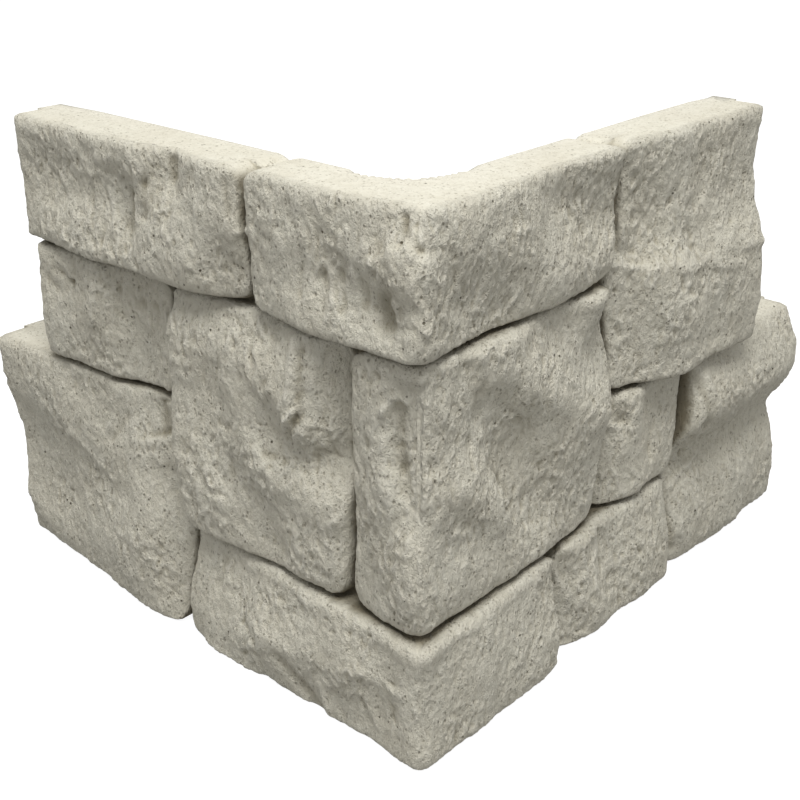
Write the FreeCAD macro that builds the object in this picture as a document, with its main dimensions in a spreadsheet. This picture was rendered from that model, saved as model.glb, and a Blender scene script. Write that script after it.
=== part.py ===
import FreeCAD, Part
import math
import os

import Mesh
import Sketcher
from FreeCAD import Vector

# A cast corner piece of stone cladding: eleven split stones moulded on one L-shaped back.
# The wall corner's vertical line is the Z axis. The left wing runs along +Y with its back
# on the plane x = 0, the right wing runs along +X with its back on the plane y = 0, and the
# piece stands on z = 0. The stones face -X on the left wing and -Y on the right one.

os.makedirs("parts", exist_ok=True)
doc = FreeCAD.newDocument("corner_piece")

# Driving dimensions in millimetres, one row per named value
DIMENSIONS = [
    ("CourseHeight", 50),       # one course of stones, four of them in the height
    ("LeftTopLength", 183),     # left wing at the top course
    ("LeftMidLength", 178),     # left wing at the course below it
    ("LeftLowLength", 215),     # left wing at the two lower courses
    ("RightTopLength", 187),    # right wing at the two upper courses
    ("RightLowLength", 240),    # right wing at the two lower courses
    ("CoreThickness", 13),      # wall behind the joints
    ("InnerRadius", 22),        # round in the back of the corner
    ("FaceDepth", 25),          # mean depth of the stone faces in front of the back plane
    ("StoneSeat", 6),           # plane inside the core where each stone starts
    ("JointGap", 1.0),          # open joint between two stones
    ("EdgeRound", 4.5),         # round along each stone's rim beside a joint
    ("OuterRound", 3),          # round along its foot and along the outline of the piece
    ("CornerRound", 9),         # reach of the rounded corners of each stone's outline
    ("HeadCornerRound", 7),     # the same beside the joints along the top
    ("SeamWander", 1.4),        # how far the joints stray from straight lines
    ("Roughness", 0.8),         # height of the even lumps on the split faces
    ("ArrisRound", 7),          # half width of the round on the outer corner
    ("FacetLength", 5.4),       # side of the facets that a stone face is broken into
    ("TopCornerLeft", 54),      # seam beside the top corner stone on the left wing
    ("MidCornerLeft", 9.5),     # seam beside the middle corner stone on the left wing
    ("LeftSeam", 99),           # upright seam through the left wing
    ("RightSeam", 88.5),        # upright seam through the right wing
    ("BottomCornerRight", 58),  # seam beside the bottom corner stone on the right wing
    ("BigStoneSeam", 145),      # seam beside the large lower stone on the right wing
]


def make_sheet():
    sheet = doc.addObject("Spreadsheet::Sheet", "Dimensions")
    for row, (name, value) in enumerate(DIMENSIONS, start=1):
        sheet.set(f"A{row}", name)
        sheet.set(f"B{row}", str(value))
        sheet.setAlias(f"B{row}", name)
    doc.recompute()
    return sheet


sheet = make_sheet()


def size(name):
    return float(sheet.get(name))


# Backing: three L-shaped pads, one for each pair of wing lengths

def l_profile(body, name, left, right, level):
    """Sketch of the L in plan, with its round inner corner, at a level above the floor."""
    sketch = body.newObject("Sketcher::SketchObject", name)
    wall = size("CoreThickness")
    bend = size("InnerRadius")
    reach_left = size(left)
    reach_right = size(right)
    points = [
        Vector(-wall, reach_left, 0),
        Vector(-wall, -wall, 0),
        Vector(reach_right, -wall, 0),
        Vector(reach_right, 0, 0),
        Vector(bend, 0, 0),
    ]
    last = [Vector(0, bend, 0), Vector(0, reach_left, 0)]
    for first, second in zip(points, points[1:]):
        sketch.addGeometry(Part.LineSegment(first, second))
    centre = Vector(bend, bend, 0)
    circle = Part.Circle(centre, Vector(0, 0, 1), bend)
    sketch.addGeometry(Part.ArcOfCircle(circle, math.pi, 1.5 * math.pi))
    sketch.addGeometry(Part.LineSegment(last[0], last[1]))
    sketch.addGeometry(Part.LineSegment(last[1], points[0]))
    joins = [(0, 2, 1, 1), (1, 2, 2, 1), (2, 2, 3, 1), (5, 2, 6, 1), (6, 2, 0, 1)]
    for one, one_end, other, other_end in joins:
        sketch.addConstraint(Sketcher.Constraint("Coincident", one, one_end, other, other_end))
    for upright in (0, 5, 2):
        sketch.addConstraint(Sketcher.Constraint("Vertical", upright))
    for level_line in (1, 3, 6):
        sketch.addConstraint(Sketcher.Constraint("Horizontal", level_line))
    sketch.addConstraint(Sketcher.Constraint("Tangent", 3, 2, 4, 2))
    sketch.addConstraint(Sketcher.Constraint("Tangent", 5, 1, 4, 1))
    sketch.addConstraint(Sketcher.Constraint("PointOnObject", 3, 2, -1))
    sketch.addConstraint(Sketcher.Constraint("PointOnObject", 5, 1, -2))

    def driven(kind, places, start, expression):
        index = sketch.addConstraint(Sketcher.Constraint(kind, *places, start))
        sketch.setExpression(f"Constraints[{index}]", expression)

    driven("Radius", (4,), bend, "Dimensions.InnerRadius")
    driven("DistanceX", (0, 2, -1, 1), wall, "Dimensions.CoreThickness")
    driven("DistanceY", (0, 2, -1, 1), wall, "Dimensions.CoreThickness")
    driven("DistanceY", (-1, 1, 5, 2), reach_left, f"Dimensions.{left}")
    driven("DistanceX", (-1, 1, 2, 2), reach_right, f"Dimensions.{right}")
    sketch.setExpression("Placement.Base.z", f"Dimensions.CourseHeight * {level}")
    return sketch


def build_backing():
    body = doc.addObject("PartDesign::Body", "Backing")
    steps = [
        ("Low", "LeftLowLength", "RightLowLength", 0, 2),
        ("Mid", "LeftMidLength", "RightTopLength", 2, 1),
        ("Top", "LeftTopLength", "RightTopLength", 3, 1),
    ]
    for name, left, right, level, courses in steps:
        sketch = l_profile(body, f"{name}Plan", left, right, level)
        pad = body.newObject("PartDesign::Pad", f"{name}Wall")
        pad.Profile = sketch
        pad.setExpression("Length", f"Dimensions.CourseHeight * {courses}")
        sketch.Visibility = False
    doc.recompute()
    return body


# Relief: every mark is placed by its shares of the stone's own length and height.
# Its width is a share of a course and its height a share of the mean face depth.

def ridge(start, end, width, rise):
    """A rounded ridge from start to end, or a hollow where the rise is negative."""
    def height(point, place):
        foot = place(*start)
        tip = place(*end)
        run = tip - foot
        along = 0.0
        if run.Length > 0:
            along = min(1.0, max(0.0, (point - foot).dot(run) / run.dot(run)))
        away = (point - foot - run * along).Length / (width * size("CourseHeight"))
        return rise * math.exp(-0.5 * away * away)
    return height


def shelf(start, end, width, rise):
    """A step along a line: what lies below the line stands out, and fades at its two ends."""
    def height(point, place):
        foot = place(*start)
        tip = place(*end)
        run = tip - foot
        soft = width * size("CourseHeight")
        along = (point - foot).dot(run) / run.Length
        below = ((point - foot).cross(run)).z / run.Length * math.copysign(1, run.x)
        fade = 1 / (1 + math.exp(-along / soft))
        fade *= 1 / (1 + math.exp((along - run.Length) / soft))
        return rise * fade / (1 + math.exp(-2 * below / soft))
    return height


# Stones, from the top course down and from the left wing to the right one. The foot and
# head rows give the depth of the face at its ends, with the outer corner between them
# where the stone wraps round it, and all depths are shares of the mean face depth.

STONES = [
    {
        "name": "TopLeftStone", "wing": "left", "from": "TopCornerLeft", "to": "LeftTopLength",
        "courses": (3, 4), "foot": (0.94, 1.02), "head": (0.98, 1.00),
        "relief": [
            ridge((0.25, 0.14), (0.75, 0.10), 0.20, 0.12),
            ridge((0.55, 0.58), (0.84, 0.56), 0.16, -0.10),
            ridge((0.50, 0.95), (0.90, 0.95), 0.14, 0.05),
            ridge((0.12, 0.55), (0.18, 0.30), 0.20, 0.08),
            ridge((0.29, 1.00), (0.29, 0.80), 0.13, -0.14),
            ridge((0.47, 0.60), (0.48, 0.25), 0.13, -0.09),
            ridge((0.62, 0.10), (0.60, 0.70), 0.14, 0.06),
            ridge((0.36, 0.40), (0.40, 0.95), 0.14, 0.06),
            ridge((0.02, 0.00), (0.04, 0.24), 0.15, -0.14),
        ],
    },
    {
        "name": "SecondLeftStone", "wing": "left", "from": "LeftSeam", "to": "LeftMidLength",
        "courses": (2, 3), "foot": (0.72, 1.00), "head": (0.76, 1.02),
        "relief": [
            ridge((0.60, 0.55), (0.85, 0.50), 0.25, 0.07),
            ridge((0.28, 0.15), (0.24, 0.90), 0.16, -0.12),
            ridge((0.45, 0.10), (0.50, 0.95), 0.15, 0.08),
            ridge((0.72, 0.72), (0.80, 0.64), 0.12, -0.10),
            ridge((0.90, 0.20), (0.86, 0.60), 0.14, 0.05),
        ],
    },
    {
        "name": "LowerLeftStone", "wing": "left", "from": "LeftSeam", "to": "LeftLowLength",
        "courses": (0, 2), "foot": (1.20, 0.91), "head": (0.82, 1.10),
        "relief": [
            shelf((1.02, 0.74), (0.30, 0.54), 0.12, -0.12),
            ridge((0.90, 0.50), (0.70, 0.34), 0.20, -0.10),
            ridge((0.14, 0.93), (0.03, 0.86), 0.16, -0.16),
            ridge((0.03, 0.62), (0.00, 0.08), 0.15, -0.24),
            ridge((0.26, 0.30), (0.55, 0.20), 0.26, 0.10),
            ridge((0.20, 0.52), (0.24, 0.16), 0.16, 0.08),
            ridge((0.78, 0.12), (0.95, 0.18), 0.16, 0.10),
            ridge((0.55, 0.92), (0.35, 0.88), 0.16, -0.07),
            ridge((0.80, 0.86), (0.60, 0.80), 0.16, 0.05),
        ],
    },
    {
        "name": "MiddleLeftStone", "wing": "left", "from": "MidCornerLeft", "to": "LeftSeam",
        "courses": (1, 3), "softer": 1.5, "foot": (0.86, 1.08), "head": (0.86, 1.00),
        "relief": [
            ridge((0.40, 1.00), (0.95, 0.99), 0.15, -0.20),
            ridge((0.19, 0.95), (0.21, 0.63), 0.12, 0.18),
            ridge((0.07, 0.92), (0.02, 0.58), 0.17, -0.26),
            ridge((0.40, 0.80), (0.24, 0.64), 0.13, 0.12),
            ridge((0.34, 0.55), (0.12, 0.49), 0.13, -0.22),
            ridge((0.44, 0.42), (0.06, 0.38), 0.16, 0.14),
            ridge((0.66, 0.40), (0.40, 0.10), 0.14, -0.10),
            ridge((0.74, 0.22), (0.84, 0.34), 0.22, 0.10),
            ridge((0.24, 0.13), (0.02, 0.11), 0.15, 0.08),
            ridge((0.68, 0.66), (0.80, 0.50), 0.15, -0.08),
            ridge((0.60, 0.84), (0.56, 0.48), 0.15, 0.05),
        ],
    },
    {
        "name": "TopCornerStone", "wing": "corner", "from": "TopCornerLeft", "to": "RightSeam",
        "courses": (3, 4), "foot": (0.94, 0.96, 0.84), "head": (0.96, 0.90, 0.96),
        "relief": [
            ridge((-0.10, 0.97), (-0.20, 0.76), 0.14, -0.12),
            ridge((-0.36, 0.70), (-0.14, 0.58), 0.16, 0.13),
            ridge((-0.14, 0.58), (0.02, 0.30), 0.17, 0.10),
            ridge((-0.28, 0.36), (-0.14, 0.26), 0.15, -0.16),
            ridge((-0.65, 0.10), (-0.12, 0.06), 0.14, 0.10),
            ridge((-0.70, 0.62), (-0.58, 0.82), 0.18, 0.06),
            ridge((-0.50, 0.45), (-0.42, 0.80), 0.14, -0.07),
            ridge((0.20, 0.80), (0.62, 0.34), 0.20, 0.12),
            ridge((0.66, 0.74), (0.92, 0.52), 0.17, -0.13),
            ridge((0.16, 0.30), (0.34, 0.16), 0.16, -0.08),
            ridge((0.70, 0.16), (0.95, 0.20), 0.16, 0.08),
        ],
    },
    {
        "name": "MiddleCornerStone", "wing": "corner", "from": "MidCornerLeft", "to": "RightSeam",
        "courses": (1, 3), "foot": (0.84, 1.00, 0.92), "head": (0.86, 0.86, 0.88),
        "relief": [
            ridge((-0.50, 0.80), (-0.40, 0.50), 0.13, 0.10),
            ridge((-0.40, 0.50), (0.00, 0.14), 0.14, 0.09),
            ridge((-0.26, 0.83), (-0.18, 0.46), 0.12, -0.17),
            ridge((0.38, 0.88), (0.84, 0.54), 0.20, 0.20),
            ridge((0.34, 0.72), (0.50, 0.54), 0.15, -0.12),
            ridge((0.18, 0.52), (0.42, 0.34), 0.16, 0.12),
            ridge((0.46, 0.44), (0.62, 0.22), 0.17, -0.14),
            ridge((0.90, 0.98), (0.86, 0.94), 0.14, 0.12),
            ridge((0.97, 0.80), (0.93, 0.76), 0.15, -0.16),
            ridge((0.95, 0.46), (0.90, 0.34), 0.16, 0.10),
            ridge((0.20, 0.14), (0.55, 0.06), 0.16, 0.08),
            ridge((0.74, 0.40), (0.68, 0.10), 0.15, 0.08),
            ridge((0.70, 0.94), (0.60, 0.98), 0.14, -0.08),
        ],
    },
    {
        "name": "BottomCornerStone", "wing": "corner", "from": "LeftSeam", "to": "BottomCornerRight",
        "courses": (0, 1), "foot": (1.10, 1.18, 1.34), "head": (0.76, 1.06, 1.06),
        "relief": [
            ridge((-0.92, 0.22), (-0.58, 0.40), 0.19, 0.10),
            ridge((-0.58, 0.40), (-0.22, 0.62), 0.19, 0.12),
            ridge((-0.60, 0.06), (-0.20, 0.14), 0.15, -0.06),
            ridge((0.05, 0.92), (0.03, 0.06), 0.15, 0.06),
            ridge((-0.14, 0.80), (-0.13, 0.20), 0.15, -0.09),
            ridge((0.45, 0.50), (0.75, 0.40), 0.22, 0.06),
            ridge((0.32, 0.12), (0.38, 0.80), 0.15, 0.07),
            ridge((0.95, 0.85), (0.98, 0.60), 0.15, -0.10),
            ridge((1.00, 0.00), (0.97, 0.05), 0.15, -0.10),
            ridge((-1.00, 0.00), (-0.97, 0.08), 0.15, -0.14),
        ],
    },
    {
        "name": "TopRightStone", "wing": "right", "from": "RightSeam", "to": "RightTopLength",
        "courses": (2, 4), "foot": (0.86, 1.16), "head": (0.88, 1.06),
        "relief": [
            shelf((0.12, 0.53), (1.05, 0.54), 0.10, 0.24),
            ridge((0.40, 0.26), (0.98, 0.28), 0.26, 0.08),
            ridge((0.30, 0.76), (0.95, 0.78), 0.22, -0.06),
            ridge((0.03, 0.85), (0.14, 0.58), 0.16, -0.12),
            ridge((0.02, 0.48), (0.16, 0.04), 0.16, -0.16),
            ridge((0.55, 0.46), (0.62, 0.12), 0.14, -0.10),
            ridge((0.34, 0.96), (0.42, 0.66), 0.15, 0.08),
            ridge((0.72, 0.94), (0.68, 0.60), 0.15, 0.06),
            ridge((0.34, 0.42), (0.40, 0.06), 0.15, 0.08),
        ],
    },
    {
        "name": "SmallRightStone", "wing": "right", "from": "RightSeam", "to": "BigStoneSeam",
        "courses": (1, 2), "foot": (0.88, 1.00), "head": (0.86, 0.94),
        "relief": [
            ridge((0.06, 0.15), (0.05, 0.88), 0.16, -0.16),
            ridge((0.26, 0.88), (0.37, 0.04), 0.16, 0.15),
            ridge((0.70, 0.55), (0.85, 0.35), 0.18, 0.06),
            ridge((0.60, 0.85), (0.58, 0.50), 0.14, -0.08),
        ],
    },
    {
        "name": "BottomRightStone", "wing": "right", "from": "BottomCornerRight", "to": "BigStoneSeam",
        "courses": (0, 1), "foot": (1.14, 1.20), "head": (0.92, 0.96),
        "relief": [
            ridge((0.03, 0.70), (0.06, 0.15), 0.15, -0.18),
            ridge((0.14, 0.98), (0.28, 0.20), 0.17, 0.13),
            ridge((0.55, 0.45), (0.80, 0.40), 0.24, 0.08),
            ridge((0.42, 0.75), (0.46, 0.25), 0.14, -0.10),
            ridge((0.70, 0.15), (0.66, 0.85), 0.14, 0.06),
        ],
    },
    {
        "name": "BigRightStone", "wing": "right", "from": "BigStoneSeam", "to": "RightLowLength",
        "courses": (0, 2), "foot": (1.04, 1.16), "head": (1.02, 1.02),
        "relief": [
            ridge((0.10, 0.80), (0.94, 0.78), 0.20, 0.30),
            ridge((0.06, 0.68), (0.90, 0.64), 0.15, 0.10),
            ridge((0.12, 0.50), (0.98, 0.49), 0.15, -0.24),
            ridge((0.12, 0.22), (0.40, 0.10), 0.22, 0.12),
            ridge((0.60, 0.22), (0.92, 0.18), 0.20, 0.05),
            ridge((0.52, 0.36), (0.58, 0.06), 0.15, 0.08),
            ridge((0.02, 0.55), (0.02, 0.30), 0.15, -0.14),
        ],
    },
]

# Where the upright joints bend outward from the corner: the seam, its wing, the level and
# the reach in courses, and how far, as a share of the joints' wander
SEAM_BENDS = [
    ("LeftSeam", -1, 2.0, 0.6, 2.2),
    ("LeftSeam", -1, 1.0, 0.4, -2.4),
    ("RightSeam", 1, 3.5, 0.4, 3.0),
    ("RightSeam", 1, 2.95, 0.25, -2.0),
    ("RightSeam", 1, 2.3, 0.5, 2.2),
    ("RightSeam", 1, 1.1, 0.3, -1.5),
    ("BigStoneSeam", 1, 1.7, 0.4, 2.0),
    ("BigStoneSeam", 1, 0.9, 0.4, -2.6),
]

# Waves of the joints, and of the lumps on the faces with their sway, in radians per course
LONG_WAVE = 2.9
SHORT_WAVE = 4.9
BROAD_LUMPS = (9.4, 5.9, 2.0)
FINE_LUMPS = (19.0, 10.3, 3.0)

# Each rim is turned back in two steps that stand on a quarter ellipse
RIM_TURNS = [math.pi / 2, math.pi / 4, 0]
LEFT_OF_CORNER = -1
RIGHT_OF_CORNER = 1
MERGE_TOLERANCE = 0.001
COURSES = 4


def wing_end(name):
    """A wing length measured from the outer corner."""
    return size(name) + size("FaceDepth")


def wing_span(stone):
    """Start and end of a stone along the outer face, measured from the outer corner."""
    depth = size("FaceDepth")
    half_gap = size("JointGap") / 2
    near = size(stone["from"])
    far = size(stone["to"])
    if not stone["to"].endswith("Length"):
        far -= half_gap
    if stone["wing"] == "corner":
        return -(near - half_gap + depth), far + depth
    near += half_gap
    side = LEFT_OF_CORNER if stone["wing"] == "left" else RIGHT_OF_CORNER
    return tuple(sorted((side * (near + depth), side * (far + depth))))


def level_span(stone):
    """Foot and head of a stone above the floor. The joint lies under each stone."""
    low, high = stone["courses"]
    course = size("CourseHeight")
    gap = size("JointGap") if low > 0 else 0
    return low * course + gap, high * course


def placing(stone, span, levels):
    """Turn shares of the stone's length and height into a place on its unrolled face."""
    first, last = span
    foot, head = levels

    def place(share, rise):
        if stone["wing"] == "corner":
            across = share * (last if share > 0 else -first)
        elif stone["wing"] == "left":
            across = last + share * (first - last)
        else:
            across = first + share * (last - first)
        return Vector(across, foot + rise * (head - foot), 0)
    return place


def base_depth(stone, span, levels, point):
    """Depth share of the plain face, straight between the stone's ends and its corner."""
    first, last = span
    foot, head = levels
    rise = (point.y - foot) / (head - foot)
    row = [low + rise * (high - low) for low, high in zip(stone["foot"], stone["head"])]
    if stone["wing"] == "corner":
        end = row[2] if point.x > 0 else row[0]
        share = point.x / last if point.x > 0 else point.x / first
        return row[1] + share * (end - row[1])
    share = (point.x - first) / (last - first)
    if stone["wing"] == "left":
        share = 1 - share
    return row[0] + share * (row[1] - row[0])


def lumps(run, rise, along, up, sway):
    """Lumps in waves along and up, swayed so that they don't stand in rows."""
    leaning = run * along + sway * math.sin(rise * up / 2)
    climbing = rise * up + sway * math.sin(run * along / 2 + 1)
    return math.sin(leaning) * math.sin(climbing)


def split_face(point):
    """Even roughness of a split face, as a share of the mean face depth."""
    run = point.x / size("CourseHeight")
    rise = point.y / size("CourseHeight")
    height = (lumps(run, rise, *BROAD_LUMPS) + lumps(run, rise, *FINE_LUMPS)) / 2
    return size("Roughness") / size("FaceDepth") * height


def on_face(across, level, depth):
    """Point in space for a place on the unrolled face and a depth in front of the back.

    Past the back planes, round the outer corner, the places fan out from the wall corner.
    """
    beyond = abs(across) - size("FaceDepth")
    along = beyond if beyond > 0 else beyond * depth / size("FaceDepth")
    if across < 0:
        return Vector(-depth, along, level)
    return Vector(along, -depth, level)


def stations(first, last):
    """Places between two ends at about the facet length, with both ends."""
    count = max(2, round((last - first) / size("FacetLength")))
    return [first + (last - first) * index / count for index in range(count + 1)]


def arris_drop(across):
    """How far the round of the outer corner lies behind the sharp corner, per wing."""
    bend = size("ArrisRound")
    near = max(0.0, 1 - abs(across) / bend)
    return bend * (1 - math.sqrt(0.5)) * near * near


def rimmed(places, rounds):
    """The places as (place, drop in depth), with the two rim steps added at each end."""
    first_round, last_round = rounds
    before = [
        (places[0] - first_round * math.sin(turn), first_round * (1 - math.cos(turn)))
        for turn in RIM_TURNS[:-1]]
    after = [
        (places[-1] + last_round * math.sin(turn), last_round * (1 - math.cos(turn)))
        for turn in RIM_TURNS[:-1]]
    return before + [(place, 0.0) for place in places] + after[::-1]


def rim_rounds(stone):
    """Rounds at the stone's first and last end, and at its foot and head."""
    joint = size("EdgeRound") * stone.get("softer", 1)
    outline = size("OuterRound")
    ends = [joint, outline if stone["to"].endswith("Length") else joint]
    if stone["wing"] == "left":
        ends.reverse()
    return ends, [outline, joint if stone["courses"][1] < COURSES else outline]


def seam_bend(across, rise):
    """How far the upright joints bend outward at a place, as a share of the wander."""
    total = 0.0
    for name, side, height, reach, bend in SEAM_BENDS:
        run = (across - side * wing_end(name)) / size("CourseHeight")
        total += side * bend * math.exp(-(run * run + (rise - height) ** 2) / (2 * reach * reach))
    return total


def round_cornered(stone, across, level):
    """A place on the unrolled face, drawn in where the corners of the stone are rounded off."""
    first, last = wing_span(stone)
    foot, head = level_span(stone)
    side = math.copysign(1, across - (first + last) / 2)
    turn = math.copysign(1, level - (foot + head) / 2)
    at_end = stone["to"].endswith("Length") and (side < 0) == (stone["wing"] == "left")
    at_top = turn > 0 and stone["courses"][1] == COURSES
    reach = size("OuterRound" if at_end else "HeadCornerRound" if at_top else "CornerRound")
    end = last if side > 0 else first
    edge = head if turn > 0 else foot
    share = max(0.0, 1 - abs(end - across) / reach)
    rise = max(0.0, 1 - abs(edge - level) / reach)
    drawn_share = share * math.sqrt(1 - rise * rise / 2)
    drawn_rise = rise * math.sqrt(1 - share * share / 2)
    return across - side * reach * (share - drawn_share), level - turn * reach * (rise - drawn_rise)


def wandered(stone, across, level):
    """A place on the unrolled face, moved a little so that the joints run unevenly.

    The outline stays true: nothing moves up or down at the floor, at the top and on the
    ledges, and nothing moves along at the ends of the wings.
    """
    across, level = round_cornered(stone, across, level)
    course = size("CourseHeight")
    stray = size("SeamWander")
    rise = level / course
    run = across / course
    low, high = (wing_end("LeftMidLength"), wing_end("RightTopLength"))
    inside = min(low + across, high - across) / course
    inside = min(1.0, max(0.0, inside), rise, COURSES - rise)
    up = stray * inside * (math.sin(LONG_WAVE * run + 0.7) + math.sin(SHORT_WAVE * run + rise)) / 4
    free = 1.0
    if stone["to"].endswith("Length"):
        free = min(1.0, abs(wing_end(stone["to"]) - abs(across)) / course)
    along = stray * free * (math.sin(SHORT_WAVE * rise + run) / 2 + seam_bend(across, rise))
    return across + along, level + up


def facets_over(grid, centres=None):
    """Triangles over a grid of points, split along the diagonal that passes nearer the centre."""
    facets = []
    for column in range(len(grid) - 1):
        for row in range(len(grid[0]) - 1):
            one, two = grid[column][row], grid[column + 1][row]
            three, four = grid[column + 1][row + 1], grid[column][row + 1]
            middle = centres[column][row] if centres else (one + three) * 0.5
            if ((one + three) * 0.5).distanceToPoint(middle) <= ((two + four) * 0.5).distanceToPoint(middle):
                facets += [(one, two, three), (one, three, four)]
            else:
                facets += [(one, two, four), (two, three, four)]
    return facets


def stone_facets(stone):
    """Triangles of one stone: a rough face, sides straight back and a seat inside the core."""
    span = wing_span(stone)
    levels = level_span(stone)
    place = placing(stone, span, levels)
    end_rounds, level_rounds = rim_rounds(stone)
    first = span[0] + end_rounds[0]
    last = span[1] - end_rounds[1]
    if stone["wing"] == "corner":
        bend = size("ArrisRound")
        inner = stations(first, -bend) + [-bend / 2, 0.0, bend / 2] + stations(bend, last)
    else:
        inner = stations(first, last)
    columns = rimmed(inner, end_rounds)
    rows = rimmed(stations(levels[0] + level_rounds[0], levels[1] - level_rounds[1]), level_rounds)

    def front(across, level, drop):
        point = Vector(across, level, 0)
        share = base_depth(stone, span, levels, point) + split_face(point)
        share += sum(mark(point, place) for mark in stone["relief"])
        depth = share * size("FaceDepth") - drop - arris_drop(across)
        return on_face(*wandered(stone, across, level), depth)

    def between(one, other):
        return [(one[side] + other[side]) / 2 for side in (0, 1)]

    face = [[front(x, z, max(x_drop, z_drop)) for z, z_drop in rows] for x, x_drop in columns]
    centres = []
    for column, following in zip(columns, columns[1:]):
        x, x_drop = between(column, following)
        cells = [between(row, above) for row, above in zip(rows, rows[1:])]
        centres.append([front(x, z, max(x_drop, z_drop)) for z, z_drop in cells])
    seat = [[on_face(*wandered(stone, x, z), size("StoneSeat")) for z, _ in rows] for x, _ in columns]
    facets = facets_over(face, centres)
    facets += facets_over(seat[::-1])
    facets += facets_over([seat[0], face[0]])
    facets += facets_over([face[-1], seat[-1]])
    facets += facets_over([[back[0], ahead[0]] for ahead, back in zip(face, seat)])
    facets += facets_over([[ahead[-1], back[-1]] for ahead, back in zip(face, seat)])
    return facets


def stone_solid(stone):
    shape = Part.Shape()
    shape.makeShapeFromMesh(Mesh.Mesh(stone_facets(stone)).Topology, MERGE_TOLERANCE)
    return Part.makeSolid(shape).removeSplitter()


def build_stones():
    stones = []
    for stone in STONES:
        feature = doc.addObject("Part::Feature", stone["name"])
        feature.Shape = stone_solid(stone)
        stones.append(feature)
    return stones


def build_corner_piece():
    backing = build_backing()
    piece = doc.addObject("Part::MultiFuse", "CornerPiece")
    piece.Label = "corner_piece"
    piece.Shapes = [backing] + build_stones()
    piece.Refine = True
    doc.recompute()
    return piece


def check_document():
    base_lines = ("X_", "Y_", "Z_", "XY_", "XZ_", "YZ_", "Origin")
    for item in doc.Objects:
        broken = [word for word in item.State if word in ("Invalid", "Error")]
        if broken:
            raise RuntimeError(f"{item.Name} is {broken[0]}")
        if hasattr(item, "Shape") and not item.Name.startswith(base_lines):
            if item.Shape.isNull() or not item.Shape.isValid():
                raise RuntimeError(f"{item.Name} has no sound shape")


corner_piece = build_corner_piece()
check_document()
corner_piece.Shape.exportStep("parts/corner_piece.step")
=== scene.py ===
import math

import bmesh
import bpy
import numpy as np
from mathutils import Matrix, Vector
from mathutils.kdtree import KDTree


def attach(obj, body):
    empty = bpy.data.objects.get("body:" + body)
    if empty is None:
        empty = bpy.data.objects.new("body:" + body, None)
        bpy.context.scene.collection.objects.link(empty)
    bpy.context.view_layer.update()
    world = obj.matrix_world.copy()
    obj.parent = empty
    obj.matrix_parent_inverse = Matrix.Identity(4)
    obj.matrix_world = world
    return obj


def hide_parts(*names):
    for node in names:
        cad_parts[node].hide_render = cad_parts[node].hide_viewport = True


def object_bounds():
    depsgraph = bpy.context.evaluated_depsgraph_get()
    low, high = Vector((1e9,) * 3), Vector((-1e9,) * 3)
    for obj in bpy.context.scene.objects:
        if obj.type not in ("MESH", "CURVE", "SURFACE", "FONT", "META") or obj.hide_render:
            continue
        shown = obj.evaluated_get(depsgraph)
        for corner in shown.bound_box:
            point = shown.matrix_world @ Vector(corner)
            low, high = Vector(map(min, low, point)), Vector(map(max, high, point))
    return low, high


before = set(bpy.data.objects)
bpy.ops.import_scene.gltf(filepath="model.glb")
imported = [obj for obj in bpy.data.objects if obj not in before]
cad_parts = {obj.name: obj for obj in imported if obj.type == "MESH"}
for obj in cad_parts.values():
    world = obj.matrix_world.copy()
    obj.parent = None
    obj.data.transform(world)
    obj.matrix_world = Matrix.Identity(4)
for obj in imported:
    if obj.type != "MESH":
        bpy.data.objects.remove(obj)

# The corner piece stands with its wall corner on the Z axis. The left wing runs along +Y and
# its stones face -X, the right wing runs along +X and its stones face -Y. Sizes are in metres,
# unless a comment says millimetres.

MM = 0.001
CAD_LOW, CAD_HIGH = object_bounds()
FACE_DEPTH = 25 * MM       # mean depth of the stone faces
FLAT_DEPTH = 13 * MM       # what lies nearer to the back than this is no stone face
SPLITS = 3                 # times that each edge of the solid's facets is halved
SMOOTH_PASSES = 30         # passes that smooth the facets
SMOOTH_SHARE = 0.6         # share of the way to the neighbours' mean in one pass
HEAD_REACH = 7 * MM        # how far the top is drawn down on each side of a joint
TRIANGLES = 190_000        # triangles of the finished piece

# The split surface: height and size of its features
BEND_HEIGHT, BEND_SIZE = 2.5 * MM, 14 * MM       # how far the other features are bent aside
WAVE_HEIGHT, WAVE_SIZE = 0.45 * MM, 10 * MM
RIDGE_HEIGHT, RIDGE_SIZE = 1.0 * MM, 4.6 * MM
GRAIN_HEIGHT, GRAIN_SIZE = 0.6 * MM, 2.4 * MM
FLUTE_HEIGHT, FLUTE_SIZE = 0.8 * MM, 5 * MM
ROUGH_PATCH = 24 * MM      # size of the rougher patches
FLUTED_PATCH = 30 * MM     # size of the patches with upright flutes
STREAK = np.array([1, 1, 0.5])       # waves, ridges and grain are drawn out upwards by this
FLUTE_STREAK = np.array([1, 1, 0.3])
RIDGE_MEAN = 0.28          # mean of the ridged noise, taken off so that it neither adds nor cuts
ROUGH_SHIFT = 37 * MM      # how far the noise is shifted from one stone to the next
PIT_SHIFT = 11 * MM        # the same for the pits
PIT_DEPTH = 0.9 * MM

# Seeds of the noise fields
BEND_SEED = 27
ROUGH_SEED = 37
RIDGE_SEED = 47
WAVE_SEED = 57
GRAIN_SEED = 67
FLUTED_SEED = 77
FLUTE_SEED = 82
PIT_SEED = 87
SMALL_PIT_SEED = 97

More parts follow.
